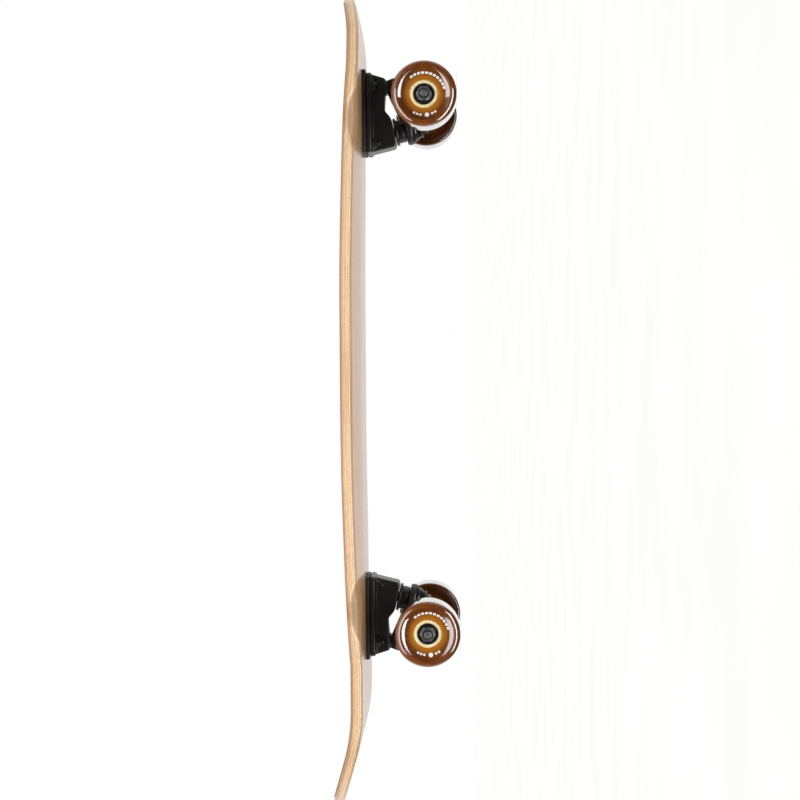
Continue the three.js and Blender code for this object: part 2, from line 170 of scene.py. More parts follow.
def skin(rows, closed=True, capped=False):
    """A mesh through rows of points; each row is a loop. `closed` joins the last row to the first."""
    form = bmesh.new()
    made = [[form.verts.new(point) for point in row] for row in rows]
    for a, b in zip(made, made[1:] + made[:1] if closed else made[1:]):
        for i in range(len(a)):
            form.faces.new((a[i - 1], a[i], b[i], b[i - 1]))
    if capped:
        form.faces.new(made[0])
        form.faces.new(reversed(made[-1]))
    bmesh.ops.remove_doubles(form, verts=form.verts, dist=1e-4)
    bmesh.ops.recalc_face_normals(form, faces=form.faces)
    return form


def turned(corners, segments=64, steps=4):
    """A closed (radius, height, fillet) outline turned about +Y."""
    outline = filleted(corners, steps)
    rows = []
    for i in range(segments):
        a = 2 * math.pi * i / segments
        rows.append([(p.x * math.cos(a), p.y, p.x * math.sin(a)) for p in outline])
    return skin(rows)


def rod(radius, start, end, fillet=0.0, segments=48):
    """A round bar about +Y."""
    return turned([(0, start, 0), (radius, start, fillet), (radius, end, fillet), (0, end, 0)], segments)


def tube(inner, outer, start, end, fillet=0.3, segments=64):
    """A round sleeve about +Y."""
    corners = [(inner, start, fillet), (outer, start, fillet), (outer, end, fillet), (inner, end, fillet)]
    return turned(corners, segments, 3)


def hexagon(flats, bore, start, end, chamfer=0.9, segments=96):
    """A hexagonal nut about +Y whose corners are chamfered at both ends, round a bore."""
    height = end - start
    levels = [0, 0.25 * chamfer, 0.5 * chamfer, 0.75 * chamfer, chamfer]
    levels = levels + [height - level for level in reversed(levels)]
    rows = []
    for i in range(segments):
        a = 2 * math.pi * i / segments
        corner = flats / 2 / math.cos((a + math.pi / 6) % (math.pi / 3) - math.pi / 6)
        row = [(bore + 0.3, 0)]
        for level in levels:
            nearest = min(level, height - level)
            row.append((min(corner, flats / 2 - 0.15 + 1.73 * nearest), level))
        row += [(bore + 0.3, height), (bore, height - 0.3), (bore, 0.3)]
        rows.append([(r * math.cos(a), start + h, r * math.sin(a)) for r, h in row])
    return skin(rows)


def threads(radius, pitch, start, end):
    """The (radius, height, fillet) corners of a thread's ridges."""
    corners = []
    for i in range(int((end - start) / pitch)):
        base = start + i * pitch
        corners += [(radius - 0.35, base, 0), (radius, base + pitch / 2, 0)]
    return corners


def prism(outline, half_width):
    """An outline of (x, z) points, as wide as twice half_width, across Y."""
    rows = [[(x, y, z) for x, z in outline] for y in (-half_width, half_width)]
    return skin(rows, closed=False, capped=True)


def rounded_plate(length, width, corner, centre, bottom, top, edge):
    """A plate with round corners and softened edges."""
    rows = []
    for inset, z in [(edge, bottom), (0.3 * edge, bottom + 0.3 * edge), (0, bottom + edge),
                     (0, top - edge), (0.3 * edge, top - 0.3 * edge), (edge, top)]:
        row = []
        for i in range(64):
            a = 2 * math.pi * (i + 0.5) / 64
            x = math.copysign(length / 2 - corner, math.cos(a)) + (corner - inset) * math.cos(a)
            y = math.copysign(width / 2 - corner, math.sin(a)) + (corner - inset) * math.sin(a)
            row.append((centre + x, y, z))
        rows.append(row)
    return skin(rows, closed=False, capped=True)


def along(form, origin, direction):
    """Turns a form made along +Y to point along a direction, from an origin."""
    turn = Vector((0, 1, 0)).rotation_difference(direction).to_matrix().to_4x4()
    form.transform(Matrix.Translation(origin) @ turn)
    return form


def upright(form, x, y):
    """Stands a form made along +Y up along +Z at (x, y)."""
    form.transform(Matrix.Translation((x, y, 0)) @ Matrix.Rotation(math.pi / 2, 4, "X"))
    return form


def joined(forms):
    """Puts forms together in one, without merging them."""
    whole = bmesh.new()
    for form in forms:
        mesh = bpy.data.meshes.new("part")
        form.to_mesh(mesh)
        form.free()
        whole.from_mesh(mesh)
        bpy.data.meshes.remove(mesh)
    return whole


def bare_object(name, form, matrix=Matrix.Identity(4)):
    """Makes an object of a form in millimetres, placed by a matrix that is also in millimetres."""
    form.transform(Matrix.Scale(MM, 4) @ matrix)
    mesh = bpy.data.meshes.new(name)
    form.to_mesh(mesh)
    form.free()
    obj = bpy.data.objects.new(name, mesh)
    bpy.context.scene.collection.objects.link(obj)
    return obj


def settle(obj):
    """Replaces an object's mesh by what its modifiers make of it."""
    done = obj.evaluated_get(bpy.context.evaluated_depsgraph_get())
    mesh = bpy.data.meshes.new_from_object(done)
    mesh.name = obj.name
    obj.modifiers.clear()
    obj.data = mesh


def drill(obj, forms, matrix=Matrix.Identity(4), crossing=False):
    """Cuts forms out of an object. `crossing` says that the forms overlap each other."""
    cutter = bare_object("cutter", joined(forms), matrix)
    cut = obj.modifiers.new("cut", "BOOLEAN")
    cut.operation, cut.solver, cut.object = "DIFFERENCE", "EXACT", cutter
    cut.use_self = crossing
    settle(obj)
    bpy.data.objects.remove(cutter)


def cast(obj, grain, rounds):
    """Melts overlapping solids into one casting with soft inner and outer corners."""
    melt = obj.modifiers.new("melt", "REMESH")
    melt.mode, melt.voxel_size = "VOXEL", grain * MM
    soften = obj.modifiers.new("soften", "SMOOTH")
    soften.factor, soften.iterations = 0.5, rounds
    settle(obj)


def put(obj, body, material, replaces=(), crease=35):
    """Finishes a piece: its material, shading, body, slot and the frame nodes it stands for. A piece that
    blends between two bodies has no body here."""
    obj.data.materials.clear()
    obj.data.materials.append(material)
    obj.data.shade_smooth()
    obj.data.set_sharp_from_angle(angle=math.radians(crease))
    if body:
        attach(obj, body)
    if replaces:
        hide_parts(*replaces)
    return obj


# ---- Material tools -------------------------------------------------------------------------------


def new_material(name):
    """A material with an empty node tree that ends in a Principled shader."""
    material = bpy.data.materials.get(name)
    if material:
        return material, None, None
    material = bpy.data.materials.new(name)
    material.use_nodes = True
    tree = material.node_tree
    return material, tree, tree.nodes["Principled BSDF"]


def add_node(tree, kind, settings=None, inputs=None):
    """Adds a node. `inputs` holds a value or an output socket for each input's name or index."""
    node = tree.nodes.new(kind)
    for key, value in (settings or {}).items():
        setattr(node, key, value)
    for key, value in (inputs or {}).items():
        if isinstance(value, bpy.types.NodeSocket):
            tree.links.new(value, node.inputs[key])
        else:
            node.inputs[key].default_value = value
    return node


def set_shader(tree, shader, inputs):
    """Sets the shader's own inputs, or links them to output sockets."""
    for key, value in inputs.items():
        if isinstance(value, bpy.types.NodeSocket):
            tree.links.new(value, shader.inputs[key])
        else:
            shader.inputs[key].default_value = value


def rgba(colour):
    """A colour with full opacity."""
    return (*tuple(colour)[:3], 1)


def place_mm(tree):
    """Positions in millimetres."""
    coordinates = add_node(tree, "ShaderNodeTexCoord")
    return add_node(tree, "ShaderNodeVectorMath", {"operation": "SCALE"},
                    {0: coordinates.outputs["Object"], "Scale": 1 / MM}).outputs[0]


def ramp(tree, factor, stops):
    """The colour of a ramp with these (position, colour) stops."""
    node = add_node(tree, "ShaderNodeValToRGB", None, {"Fac": factor})
    elements = node.color_ramp.elements
    while len(elements) < len(stops):
        elements.new(1)
    for element, (position, colour) in zip(elements, stops):
        element.position, element.color = position, rgba(colour)
    return node.outputs["Color"]


def maple_plies(core, outer):
    """Hard rock maple, seven plies pressed and glued, sanded and sealed with a clear gloss lacquer. The
    plies show on the rail as pale bands between thin brown glue lines, and the coat mirrors at a graze."""
    material, tree, shader = new_material("Lacquered maple plywood")
    if tree is None:
        return material
    depth = add_node(tree, "ShaderNodeAttribute", {"attribute_name": "ply_depth"}).outputs["Fac"]
    place = place_mm(tree)
    # Fibres are about 0.7 mm apart across the board and 45 mm long
    stretched = add_node(tree, "ShaderNodeVectorMath", {"operation": "MULTIPLY"},
                         {0: place, 1: (1 / 45, 1 / 0.7, 1 / 0.7)}).outputs[0]
    fibre = add_node(tree, "ShaderNodeTexNoise", None,
                     {"Vector": stretched, "Scale": 1, "Detail": 4, "Roughness": 0.6}).outputs["Fac"]
    # Broad figure: growth rings cut almost flat, 14 mm apart and 260 mm long
    broad = add_node(tree, "ShaderNodeVectorMath", {"operation": "MULTIPLY"},
                     {0: place, 1: (1 / 260, 1 / 14, 1 / 40)}).outputs[0]
    figure = add_node(tree, "ShaderNodeTexNoise", None,
                      {"Vector": broad, "Scale": 1, "Detail": 3, "Distortion": 1.2}).outputs["Fac"]
    # Seven plies of 1.486 mm; the glue line's waver is a tenth of a ply
    waver = add_node(tree, "ShaderNodeMath", {"operation": "MULTIPLY_ADD"},
                     {0: figure, 1: 0.3, 2: -0.15}).outputs[0]
    wavy = add_node(tree, "ShaderNodeMath", {"operation": "ADD"}, {0: depth, 1: waver}).outputs[0]
    level = add_node(tree, "ShaderNodeMapRange", None,
                     {"Value": wavy, "From Min": 0, "From Max": 10.4, "To Min": 0, "To Max": 1}).outputs[0]
    band = ramp(tree, level, [
        (0.0, outer), (0.12, linear("9a7045")), (0.142, linear("774d22")),
        (0.16, linear("b0855a")), (0.27, linear("be946a")), (0.287, linear("986c43")),
        (0.305, core), (0.42, linear("dfbb92")), (0.43, linear("b58b60")),
        (0.445, linear("ccb08d")), (0.565, linear("d1b089")), (0.573, linear("b78e65")),
        (0.59, linear("dcc3a3")), (0.705, linear("e2c39d")), (0.716, linear("b18759")),
        (0.735, linear("ccad88")), (0.845, linear("cda679")), (0.859, linear("986d43")),
        (0.88, linear("c39e78")), (1.0, linear("caa175")),
    ])
    grain = ramp(tree, fibre, [(0.3, (0.80, 0.76, 0.72)), (0.62, (1.05, 1.05, 1.05))])
    fine = add_node(tree, "ShaderNodeMix", {"data_type": "RGBA", "blend_type": "MULTIPLY"},
                    {"Factor": 0.7, "A": band, "B": grain}).outputs["Result"]
    rings = ramp(tree, figure, [(0.35, (0.86, 0.82, 0.78)), (0.55, (1.02, 1.02, 1.02))])
    figured = add_node(tree, "ShaderNodeMix", {"data_type": "RGBA", "blend_type": "MULTIPLY"},
                       {"Factor": 0.55, "A": fine, "B": rings}).outputs["Result"]
    # Open pores in the sanded plies, drawn 1.5 mm apart so that they still show
    pores = add_node(tree, "ShaderNodeTexNoise", None,
                     {"Vector": place, "Scale": 1 / 1.5, "Detail": 2}).outputs["Fac"]
    specks = ramp(tree, pores, [(0.36, (0.72, 0.64, 0.56)), (0.46, (1, 1, 1))])
    colour = add_node(tree, "ShaderNodeMix", {"data_type": "RGBA", "blend_type": "MULTIPLY"},
                      {"Factor": 0.6, "A": figured, "B": specks}).outputs["Result"]
    bump = add_node(tree, "ShaderNodeBump", None,
                    {"Height": fibre, "Strength": 0.12, "Distance": 0.00015}).outputs[0]
    set_shader(tree, shader, {"Base Color": colour, "Roughness": 0.42, "IOR": 1.5, "Coat Weight": 0.55,
                              "Coat Roughness": 0.12, "Coat IOR": 1.5, "Normal": bump})
    return material


def clear_grit(wood):
    """Crushed glass grit about 0.5 mm across, set in clear lacquer over the maple: sandy, dull and rough,
    with the wood's figure showing through."""
    material, tree, shader = new_material("Glass grit in clear lacquer")
    if tree is None:
        return material
    place = place_mm(tree)
    broad = add_node(tree, "ShaderNodeVectorMath", {"operation": "MULTIPLY"},
                     {0: place, 1: (1 / 220, 1 / 9, 1 / 40)}).outputs[0]
    figure = add_node(tree, "ShaderNodeTexNoise", None,
                      {"Vector": broad, "Scale": 1, "Detail": 5, "Distortion": 1.0}).outputs["Fac"]
    base = ramp(tree, figure, [(0.3, tuple(0.62 * c for c in wood)), (0.6, wood)])
    # Grains are drawn 0.9 mm apart, so that they still show
    grains = add_node(tree, "ShaderNodeTexVoronoi", None, {"Vector": place, "Scale": 1 / 0.9})
    # Each grain is painted lighter at its middle and darker towards its rim: a painted highlight on every
    # grain and painted shade in the gaps between grains
    grain_glint_and_gap_shade = ramp(tree, grains.outputs["Distance"], [(0.0, (1.25, 1.22, 1.18)), (0.55, (0.72, 0.7, 0.68))])
    colour = add_node(tree, "ShaderNodeMix", {"data_type": "RGBA", "blend_type": "MULTIPLY"},
                      {"Factor": 0.8, "A": base, "B": grain_glint_and_gap_shade}).outputs["Result"]
    bump = add_node(tree, "ShaderNodeBump", {"invert": True},
                    {"Height": grains.outputs["Distance"], "Strength": 0.8, "Distance": 0.0005}).outputs[0]
    set_shader(tree, shader, {"Base Color": colour, "Roughness": 0.62, "IOR": 1.5, "Normal": bump})
    return material


def black_plastic():
    """Moulded polypropylene riser: black, fine spark-eroded texture of 0.4 mm, dull."""
    material, tree, shader = new_material("Moulded black polypropylene")
    if tree is None:
        return material
    place = place_mm(tree)
    texture = add_node(tree, "ShaderNodeTexNoise", None,
                       {"Vector": place, "Scale": 1 / 0.4, "Detail": 2}).outputs["Fac"]
    colour = ramp(tree, texture, [(0.35, linear("131110")), (0.65, linear("211d1b"))])
    bump = add_node(tree, "ShaderNodeBump", None,
                    {"Height": texture, "Strength": 0.3, "Distance": 0.0001}).outputs[0]
    set_shader(tree, shader, {"Base Color": colour, "Roughness": 0.55, "IOR": 1.49, "Normal": bump})
    return material


def black_paint():
    """Die-cast aluminium trucks under satin black powder coat: orange peel about 2 mm across, faint
    grey wear where the coat thins on corners."""
    material, tree, shader = new_material("Satin black powder coat on cast aluminium")
    if tree is None:
        return material
    place = place_mm(tree)
    peel = add_node(tree, "ShaderNodeTexNoise", None,
                    {"Vector": place, "Scale": 1 / 1.8, "Detail": 2, "Roughness": 0.45}).outputs["Fac"]
    cloud = add_node(tree, "ShaderNodeTexNoise", None,
                     {"Vector": place, "Scale": 1 / 14, "Detail": 3}).outputs["Fac"]
    corner = add_node(tree, "ShaderNodeNewGeometry").outputs["Pointiness"]
    worn = add_node(tree, "ShaderNodeMapRange", None,
                    {"Value": corner, "From Min": 0.53, "From Max": 0.6, "To Min": 0, "To Max": 0.35})
    base = ramp(tree, cloud, [(0.35, linear("171715")), (0.65, linear("201f1c"))])
    colour = add_node(tree, "ShaderNodeMix", {"data_type": "RGBA"},
                      {"Factor": worn.outputs[0], "A": base, "B": rgba(linear("4a4a46"))}).outputs["Result"]
    bump = add_node(tree, "ShaderNodeBump", None,
                    {"Height": peel, "Strength": 0.25, "Distance": 0.0002}).outputs[0]
    set_shader(tree, shader, {"Base Color": colour, "Roughness": 0.38, "IOR": 1.5, "Normal": bump})
    return material


def cast_urethane(colour, amber, depth):
    """Poured polyurethane, translucent amber, released from a polished mould: a glossy skin over a body
    that lets light a few millimetres in, with faint flow marks."""
    material, tree, shader = new_material("Poured amber polyurethane")
    if tree is None:
        return material
    place = place_mm(tree)
    flow = add_node(tree, "ShaderNodeTexNoise", None,
                    {"Vector": place, "Scale": 1 / 11, "Detail": 4, "Distortion": 0.8}).outputs["Fac"]
    body = ramp(tree, flow, [(0.3, [0.7 * c for c in colour]), (0.7, [1.15 * c for c in colour])])
    # Paler amber round the core, deepening towards the tread: a painted glow of light shining through the
    # urethane
    reach = add_node(tree, "ShaderNodeAttribute", {"attribute_name": "from_axle"}).outputs["Fac"]
    painted_glow_share = add_node(tree, "ShaderNodeMapRange", {"interpolation_type": "SMOOTHSTEP"},
                    {"Value": reach, "From Min": 14, "From Max": 21, "To Min": 1, "To Max": 0}).outputs[0]
    body = add_node(tree, "ShaderNodeMix", {"data_type": "RGBA"},
                    {"Factor": painted_glow_share, "A": body, "B": rgba(amber)}).outputs["Result"]
    scuff = add_node(tree, "ShaderNodeTexNoise", None,
                     {"Vector": place, "Scale": 1 / 1.2, "Detail": 3}).outputs["Fac"]
    gloss = add_node(tree, "ShaderNodeMapRange", None,
                     {"Value": scuff, "From Min": 0.3, "From Max": 0.7, "To Min": 0.07, "To Max": 0.13})
    # The faces keep the gloss of the mould; the ridden tread is matt, and shines only at a low angle
    tread = add_node(tree, "ShaderNodeMapRange", None,
                     {"Value": reach, "From Min": 30.0, "From Max": 30.4, "To Min": 0, "To Max": 1}).outputs[0]
    slant = add_node(tree, "ShaderNodeLayerWeight").outputs["Facing"]
    steep = add_node(tree, "ShaderNodeMapRange", {"interpolation_type": "SMOOTHSTEP"},
                     {"Value": slant, "From Min": 0.6, "From Max": 0.8, "To Min": 1, "To Max": 0}).outputs[0]
    matt = add_node(tree, "ShaderNodeMath", {"operation": "MULTIPLY"}, {0: tread, 1: steep}).outputs[0]
    rough = add_node(tree, "ShaderNodeMath", {"operation": "MULTIPLY_ADD"},
                     {0: matt, 1: 0.42, 2: gloss.outputs[0]})
    coat = add_node(tree, "ShaderNodeMath", {"operation": "SUBTRACT"}, {0: 1.0, 1: matt})
    set_shader(tree, shader, {"Base Color": body, "Roughness": rough.outputs[0], "IOR": 1.5,
                              "Coat Weight": coat.outputs[0], "Coat Roughness": 0.04,
                              "Subsurface Weight": 0.35, "Subsurface Scale": depth * MM,
                              "Subsurface Radius": (1.0, 0.42, 0.12)})
    return material


def ivory_nylon():
    """Injection moulded glass-filled nylon wheel core: warm ivory, slightly translucent, satin."""
    material, tree, shader = new_material("Moulded ivory nylon")
    if tree is None:
        return material
    place = place_mm(tree)
    cloud = add_node(tree, "ShaderNodeTexNoise", None,
                     {"Vector": place, "Scale": 1 / 3, "Detail": 3}).outputs["Fac"]
    colour = ramp(tree, cloud, [(0.3, linear("e6cd8e")), (0.7, linear("f6e8bd"))])
    set_shader(tree, shader, {"Base Color": colour, "Roughness": 0.3, "IOR": 1.53,
                              "Subsurface Weight": 0.3, "Subsurface Scale": 0.002})
    return material


def white_ink():
    """Pad-printed white ink, a little uneven and worn."""
    material, tree, shader = new_material("Pad printed white ink")
    if tree is None:
        return material
    cover = add_node(tree, "ShaderNodeTexNoise", None,
                     {"Vector": place_mm(tree), "Scale": 1 / 2.5, "Detail": 2}).outputs["Fac"]
    colour = ramp(tree, cover, [(0.3, linear("dcd6ca")), (0.6, linear("f0eee8"))])
    set_shader(tree, shader, {"Base Color": colour, "Roughness": 0.3, "IOR": 1.5})
    return material


def rubber_black():
    """Black urethane bushings, seals and cups: moulded, dull, slightly dusty."""
    material, tree, shader = new_material("Moulded black urethane rubber")
    if tree is None:
        return material
    place = place_mm(tree)
    dust = add_node(tree, "ShaderNodeTexNoise", None,
                    {"Vector": place, "Scale": 1 / 5, "Detail": 5}).outputs["Fac"]
    colour = ramp(tree, dust, [(0.4, linear("100f0d")), (0.75, linear("23201d"))])
    set_shader(tree, shader, {"Base Color": colour, "Roughness": 0.3, "IOR": 1.5})
    return material


def metal(name, code, light_code, roughness):
    """Turned or cold-headed steel: tool marks 0.3 mm apart round the part, uneven plating."""
    material, tree, shader = new_material(name)
    if tree is None:
        return material
    place = place_mm(tree)
    marks = add_node(tree, "ShaderNodeTexNoise", None,
                     {"Vector": place, "Scale": 1 / 0.6, "Detail": 3}).outputs["Fac"]
    cloud = add_node(tree, "ShaderNodeTexNoise", None,
                     {"Vector": place, "Scale": 1 / 6, "Detail": 3}).outputs["Fac"]
    colour = ramp(tree, cloud, [(0.3, linear(code)), (0.7, linear(light_code))])
    rough = add_node(tree, "ShaderNodeMapRange", None,
                     {"Value": marks, "From Min": 0.3, "From Max": 0.7,
                      "To Min": roughness - 0.06, "To Max": roughness + 0.08}).outputs[0]
    set_shader(tree, shader, {"Base Color": colour, "Metallic": 1, "Roughness": rough})
    return material


def zinc_steel():
    """Zinc-plated steel axles, nuts and bearing races: bright, slightly blue grey."""
    return metal("Zinc plated steel", "5a5c5e", "868889", 0.4)


def black_steel():
    """Black-oxide steel bolts, nuts, washers and kingpins: dark, with a soft metallic sheen."""
    return metal("Black oxide steel", "3a3936", "5c5955", 0.38)


# ---- Deck -----------------------------------------------------------------------------------------


def kick_rise(kick, distance):
    """Rise of an upturned end at a distance along the deck: a round bend, then straight."""
    past = max(0, distance - kick["start"])
    if past < kick["bend"]:
        return kick["slope"] * past * past / (2 * kick["bend"])
    return kick["slope"] * (past - kick["bend"] / 2)


def deck_rise(x, y, half_width):
    """Height of the deck's surfaces above where they lie over the trucks."""
    from_middle = abs(x - MID_WHEELBASE_X)
    fade = min(1, max(0, (from_middle - CAMBER_FLAT) / (CAMBER_END - CAMBER_FLAT)))
    camber = CAMBER * (1 + math.cos(math.pi * fade)) / 2
    depth = max(0, 1 - (from_middle / CONCAVE_REACH) ** CONCAVE_FALL)
    across = max(0, abs(y) - FLAT_HALF_WIDTH) / (half_width - FLAT_HALF_WIDTH)
    return camber + CONCAVE_RISE * depth * across**1.6 + kick_rise(NOSE_KICK, x) + kick_rise(TAIL_KICK, -x)


def well_rise(x, y, half_width):
    """Height of a wheel well's surface, or nothing where there is no well."""
    radius = (WELL["length"] ** 2 / 4 + WELL["depth"] ** 2) / (2 * WELL["depth"])
    for axle_x, outward in ((FRONT_AXLE_X, 1), (REAR_AXLE_X, -1)):
        centre = axle_x - outward * WELL["inboard"]
        aside = abs(x - centre)
        if aside < WELL["length"] / 2 + 6:
            rail = deck_rise(centre, half_width, half_width) + WELL["depth"]
            slope = (rail - deck_rise(centre, half_width - WELL["fade"], half_width)) / WELL["fade"]
            tilt = math.sqrt(1 + slope * slope)
            sag = (radius - math.sqrt(radius * radius - aside * aside)) * tilt
            return rail - slope * (half_width - abs(y)) - sag
    return None


def sheet_outline(settings, inset):
    """Points round the deck's edge, each with the point of the middle line that it faces."""
    half_width = settings.width / 2 - inset
    nose_base = settings.length / 2 - NOSE_LENGTH
    tail_base = -settings.length / 2 + TAIL_LENGTH
    stations = [tail_base]
    while stations[-1] < nose_base - 1.5:
        x = stations[-1]
        near_well = min(abs(x - FRONT_AXLE_X + 24), abs(x - REAR_AXLE_X - 24)) < 38
        stations.append(x + (1.3 if near_well else 4))
    stations[-1] = nose_base
    points = [((x, -half_width), (x, 0)) for x in stations[:-1]]
    for i in range(72):
        a = math.pi * (i / 72 - 0.5)
        tip = (nose_base + (NOSE_LENGTH - inset) * math.cos(a), half_width * math.sin(a))
        points.append((tip, (nose_base, 0)))
    points += [((x, half_width), (x, 0)) for x in reversed(stations[1:])]
    for i in range(72):
        a = math.pi * (i / 72 + 0.5)
        tip = (tail_base + (TAIL_LENGTH - inset) * math.cos(a), half_width * math.sin(a))
        points.append((tip, (tail_base, 0)))
    return points


def pressed_sheet(settings, bottom, top, inset, rounding, wells):
    """A sheet that follows the deck's pressed shape, with rounded rails."""
    outline = sheet_outline(settings, inset)
    half_width = settings.width / 2
    full = half_width - inset
    # Distances from the rail of the rows of points on both faces, close together over the wells
    faces = [rounding + 1.4 * i for i in range(25)]
    faces += [faces[-1] + (full - faces[-1]) * i / 10 for i in range(1, 11)]
    rail = [(rounding * (1 - math.sin(math.pi / 14 * i)), rounding * (1 - math.cos(math.pi / 14 * i)))
            for i in range(1, 8)]

    def at(edge, middle, from_rail):
        t = 1 - from_rail / full
        return (middle[0] + t * (edge[0] - middle[0]), middle[1] + t * (edge[1] - middle[1]))

    def levels(x, y):
        rise = UNDERSIDE_Z + deck_rise(x, y, half_width)
        low = rise + bottom
        if wells:
            well = well_rise(x, y, half_width)
            if well is not None:
                low = max(low, UNDERSIDE_Z + well)
        return low, rise + top

    rows = []
    for distance in reversed(faces):
        rows.append([(*p, levels(*p)[1]) for p in (at(e, m, distance) for e, m in outline)])
    for aside, down in rail:
        rows.append([(*p, levels(*p)[1] - down) for p in (at(e, m, aside) for e, m in outline)])
    for fraction in (0.25, 0.5, 0.75):
        row = []
        for e, _ in outline:
            low, high = levels(*e)
            row.append((*e, high - rounding + fraction * (low - high + 2 * rounding)))
        rows.append(row)
    for aside, down in reversed(rail):
        rows.append([(*p, levels(*p)[0] + down) for p in (at(e, m, aside) for e, m in outline)])
    for distance in faces:
        rows.append([(*p, levels(*p)[0]) for p in (at(e, m, distance) for e, m in outline)])
    return skin(rows, closed=False)


def mark_depth(obj, settings):
    """Stores how far below the deck's top each point lies, which says which ply it is in."""
    attribute = obj.data.attributes.new("ply_depth", "FLOAT", "POINT")
    top = UNDERSIDE_Z + settings.thickness
    for vertex in obj.data.vertices:
        x, y, z = vertex.co / MM
        depth = top + deck_rise(x, min(abs(y), settings.width / 2), settings.width / 2) - z
        attribute.data[vertex.index].value = min(10.1, max(0.3, depth))


def at_every_bolt(make_form):
    """A form stood upright at each of the eight bolts, in the board's own frame."""
    forms = []
    for matrix in TRUCKS.values():
        for _, x, y in BOLT_CENTRES:
            form = upright(make_form(), x, y)
            form.transform(matrix @ Matrix.Translation((0, 0, -AXLE_Z)))
            forms.append(form)
    return forms


# ---- Property groups ------------------------------------------------------------------------------


class DeckSettings(bpy.types.PropertyGroup):
    length: FloatProperty(name="Length", description="Nose tip to tail tip, in millimetres", default=779)
    width: FloatProperty(name="Width", description="Rail to rail, in millimetres", default=203.2)
    thickness: FloatProperty(name="Thickness", description="Seven plies, in millimetres", default=10.4)
    rounding: FloatProperty(name="Rail rounding", description="How far the rails are rounded over, in "
                            "millimetres", default=3.2)
    core: FloatVectorProperty(name="Core ply", description="Colour of the first pale ply inside",
                              subtype="COLOR", size=3, default=linear("d4b490"))
    outer: FloatVectorProperty(name="Top ply", description="Colour of the top ply's outer face",
                               subtype="COLOR", size=3, default=linear("8c6238"))
    under_grit: FloatVectorProperty(name="Under the grit", description="Colour of the maple under the grit",
                                    subtype="COLOR", size=3, default=linear("c39c6e"))


class TruckSettings(bpy.types.PropertyGroup):
    grain: FloatProperty(name="Casting detail", description="Spacing of the castings' mesh, in "
                         "millimetres", default=0.8)
    softness: IntProperty(name="Casting softness", description="How often corners are smoothed", default=4)


class WheelSettings(bpy.types.PropertyGroup):
    radius: FloatProperty(name="Radius", description="In millimetres", default=30.5)
    colour: FloatVectorProperty(name="Urethane", description="Colour of the wheels", subtype="COLOR",
                                size=3, default=linear("6f3b14"))
    # The amber round the core is a painted glow of light shining through the urethane
    amber: FloatVectorProperty(name="Amber", description="Colour of the wheels round the core",
                               subtype="COLOR", size=3, default=linear("a8691a"))
    depth: FloatProperty(name="Translucency", description="How far light goes in, in millimetres",
                         default=5)


class StageSettings(bpy.types.PropertyGroup):
    lens: FloatProperty(name="Lens", description="Focal length on a 36 mm sensor", default=87.2,
                        unit="CAMERA")
    overhead: FloatProperty(name="Overhead", description="Radiance of the soft light above", default=1.5)
    sides: FloatProperty(name="Sides", description="Radiance of the white surroundings", default=1.0)
    front: FloatProperty(name="Front", description="Radiance of the dim camera side", default=0.03)
    below: FloatProperty(name="Below", description="How bright the surroundings are below the horizon, as "
                         "a share", default=0.1)
    upper_box: FloatProperty(name="Upper box", description="Radiance of the upper soft box", default=6.4)
    lower_box: FloatProperty(name="Lower box", description="Radiance of the lower soft box", default=12)


# ---- Operators ------------------------------------------------------------------------------------


